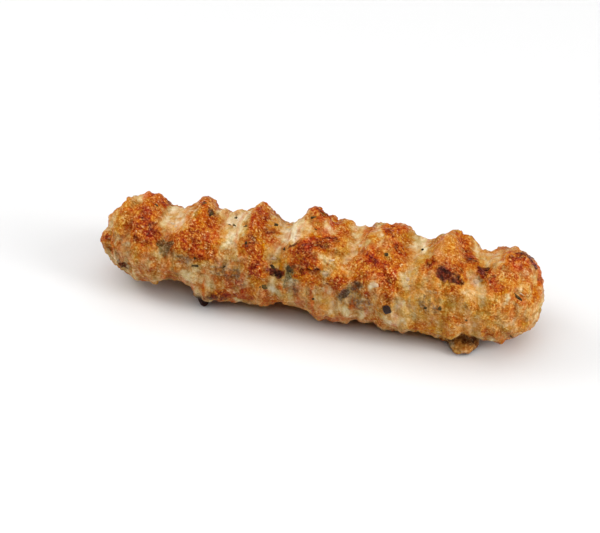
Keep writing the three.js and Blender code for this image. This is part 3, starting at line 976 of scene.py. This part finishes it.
def gather(name, bits, material):
    """Joins the bits into one piece with one material."""
    bpy.ops.object.select_all(action="DESELECT")
    for bit in bits:
        bit.select_set(True)
    bpy.context.view_layer.objects.active = bits[0]
    bpy.ops.object.join()
    piece = bpy.context.object
    piece.name = name
    piece.data.materials.append(material)
    bpy.ops.object.shade_smooth()
    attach(piece, "root")
    print(name, "has", len(bits), "bits and", len(piece.data.polygons), "faces")


print("the skin over the kebab's middle is", round(spot(0, 0)[0].z / MM, 1), "mm up")

# %% [markdown]
# ## Herbs
# The herbs are chopped leaves and thin stems that the grill turned dark. Veins and edges of real leaves
# would be lost at one to four millimetres, so thin dented flakes will do. Those that can be seen are named
# by place, length, width and turn. More of them are strewn by seeded dice over the rest of the kebab.

# %% Press in the herbs
HERBS = [
    (-73.5, -8, 2.4, 1.6, 80), (-52.5, -15, 1.6, 1.2, 0), (-48.8, -6, 2.8, 1.9, 70),
    (-38, -14, 2.2, 0.9, 10), (-37, 12, 2.2, 0.8, 40), (-31, 17, 2.4, 1.0, 0), (-20.5, -10, 2.0, 1.5, 80),
    (-40, 3, 1.4, 0.8, 20), (-13, 36, 1.9, 1.4, 0), (-17, 62, 2.8, 1.6, 60), (-9, 59, 3.8, 2.2, 40),
    (-19.8, 86, 2.8, 2.3, 0), (-49.8, 74, 3.4, 1.1, 0), (-50.5, 65, 1.5, 1.3, 0), (30, 27, 2.8, 1.4, -10),
    (44, 3, 1.5, 1.0, 0), (-4, -5, 2.4, 0.9, -30), (-2, 7, 1.6, 0.7, -40), (50, 77, 1.7, 1.4, 0),
    (55.5, 76, 1.7, 2.0, 50), (-37.5, 70, 1.4, 2.0, 80), (2, 92, 2.0, 1.0, -30), (86.2, 50.5, 4.6, 1.4, 28),
    (67, 85, 1.2, 1.0, 0), (-28.8, 38, 1.6, 1.4, 0),
]
HERB_SEEDS = (0, 1, 2)
HERB_DENTS = 0.9
HERB_THICKNESS = 0.8
HERB_LIFT = -0.08
STREWN_HERBS = 70
STREWN_END = 88
FRONT_SEEN = (-60, 125)
STREWN_HERB_LENGTHS = (0.9, 3.2)
STREWN_HERB_WIDTHS = (0.7, 1.5)
STREWN_HERB_THICKNESS = 0.7
STREWN_HERB_LIFT = -0.1

herb_material, place = new_material("dark chopped herb")
finish_with(
    place,
    Base_Color=noise(place, 2.0).step(-0.6, 0.6).mix(paint(44, 30, 14), paint(92, 72, 34)),
    Roughness=0.5,
    Specular_IOR_Level=0.1,
)
herb_blanks = [dented_ball(seed, HERB_DENTS) for seed in HERB_SEEDS]
herbs = [
    lay(herb_blanks[i % len(herb_blanks)], x, angle, length, width, HERB_THICKNESS, turned, HERB_LIFT)
    for i, (x, angle, length, width, turned) in enumerate(HERBS)
]
while len(herbs) < len(HERBS) + STREWN_HERBS:
    x, angle = marks.uniform(-STREWN_END, STREWN_END), marks.uniform(-180, 180)
    if not FRONT_SEEN[0] < angle < FRONT_SEEN[1]:
        length = marks.uniform(*STREWN_HERB_LENGTHS)
        blank = marks.choice(herb_blanks)
        width = marks.uniform(*STREWN_HERB_WIDTHS)
        turned = marks.uniform(-90, 90)
        herbs.append(lay(blank, x, angle, length, width, STREWN_HERB_THICKNESS, turned, STREWN_HERB_LIFT))
gather("herb_flecks", herbs, herb_material)

# %% [markdown]
# ## Onion
# Finely chopped onion cooks to pale, wet, see-through lumps. They catch the light more than the meat
# does, so they get a smooth coat. Made see-through for real they would show their buried halves, so they
# let light in under the surface instead.

# %% Press in the onion
ONION = [
    (28, 60, 3.8, 2.6, 20), (6, 58, 3.4, 2.0, -10), (68.8, 40, 3.6, 3.4, 60), (18.3, 15, 2.4, 1.8, 40),
    (41, 50, 2.6, 2.0, 30), (-17, 50, 2.2, 1.6, 0), (87.8, 45.5, 2.6, 0.8, 15), (8, 42, 3.0, 1.6, -10),
    (-64, 17, 2.6, 1.8, 20), (-62, 23, 2.0, 1.6, 0), (-8, 22, 3.0, 2.0, -20),
]
ONION_SEEDS = (11, 12, 13)
ONION_DENTS = 0.5
ONION_THICKNESS = 1.4
ONION_LIFT = -0.2
STREWN_ONION = 22
STREWN_ONION_ROUND = (-185, -60)
STREWN_ONION_LENGTHS = (1.6, 3.6)
STREWN_ONION_WIDTHS = (1.2, 2.4)
STREWN_ONION_THICKNESS = 1.2

onion_material, place = new_material("soft cooked onion")
finish_with(
    place,
    Base_Color=noise(place, 1.5).step(-0.8, 0.8).mix(paint(188, 150, 108), paint(212, 184, 146)),
    Roughness=0.28,
    Coat_Weight=0.3,
    Subsurface_Weight=0.3,
    Subsurface_Radius=(2.0, 1.4, 0.8),
    Subsurface_Scale=0.5 * MM,
)
onion_blanks = [dented_ball(seed, ONION_DENTS) for seed in ONION_SEEDS]
onion = [
    lay(onion_blanks[i % len(onion_blanks)], x, angle, length, width, ONION_THICKNESS, turned, ONION_LIFT)
    for i, (x, angle, length, width, turned) in enumerate(ONION)
]
for _ in range(STREWN_ONION):
    onion.append(lay(
        marks.choice(onion_blanks),
        marks.uniform(-STREWN_END, STREWN_END),
        marks.uniform(*STREWN_ONION_ROUND),
        marks.uniform(*STREWN_ONION_LENGTHS),
        marks.uniform(*STREWN_ONION_WIDTHS),
        STREWN_ONION_THICKNESS,
        marks.uniform(-90, 90),
        ONION_LIFT,
    ))
gather("onion_bits", onion, onion_material)

# %% [markdown]
# ## Pepper
# One half peppercorn shows as a round dark dot low on the front. Two smaller crushed bits of the same sit
# at the back, where the mixing would have left some. The wrinkles of its skin could be modelled one by
# one, but they are finer than a pixel here, so shallow dents stand for them, and a noise of two dark tones
# paints their light and shade.

# %% Press in the pepper
# Each is given as the herbs are, with its thickness before its turn.
PEPPER = [
    (34, 85, 4.0, 5.0, 1.8, 0),
    (-30, -120, 3.0, 2.6, 1.6, 30),
    (58, -95, 2.4, 2.0, 1.4, 70),
]
PEPPER_SEED = 21
PEPPER_DENTS = 0.25

pepper_material, place = new_material("black pepper")
finish_with(
    place,
    # the two dark tones are the wrinkles' painted light and shade
    Base_Color=noise(place, 0.6).step(-0.6, 0.8).mix(paint(24, 14, 10), paint(66, 42, 32)),
    Roughness=0.45,
    Specular_IOR_Level=0.15,
)
peppercorn = dented_ball(PEPPER_SEED, PEPPER_DENTS)
pepper = [lay(peppercorn, *one) for one in PEPPER]
gather("peppercorn", pepper, pepper_material)

# %% [markdown]
# ## The finished size
# The relief moves the skin in and out a little, so the finished kebab isn't quite the solid's size.
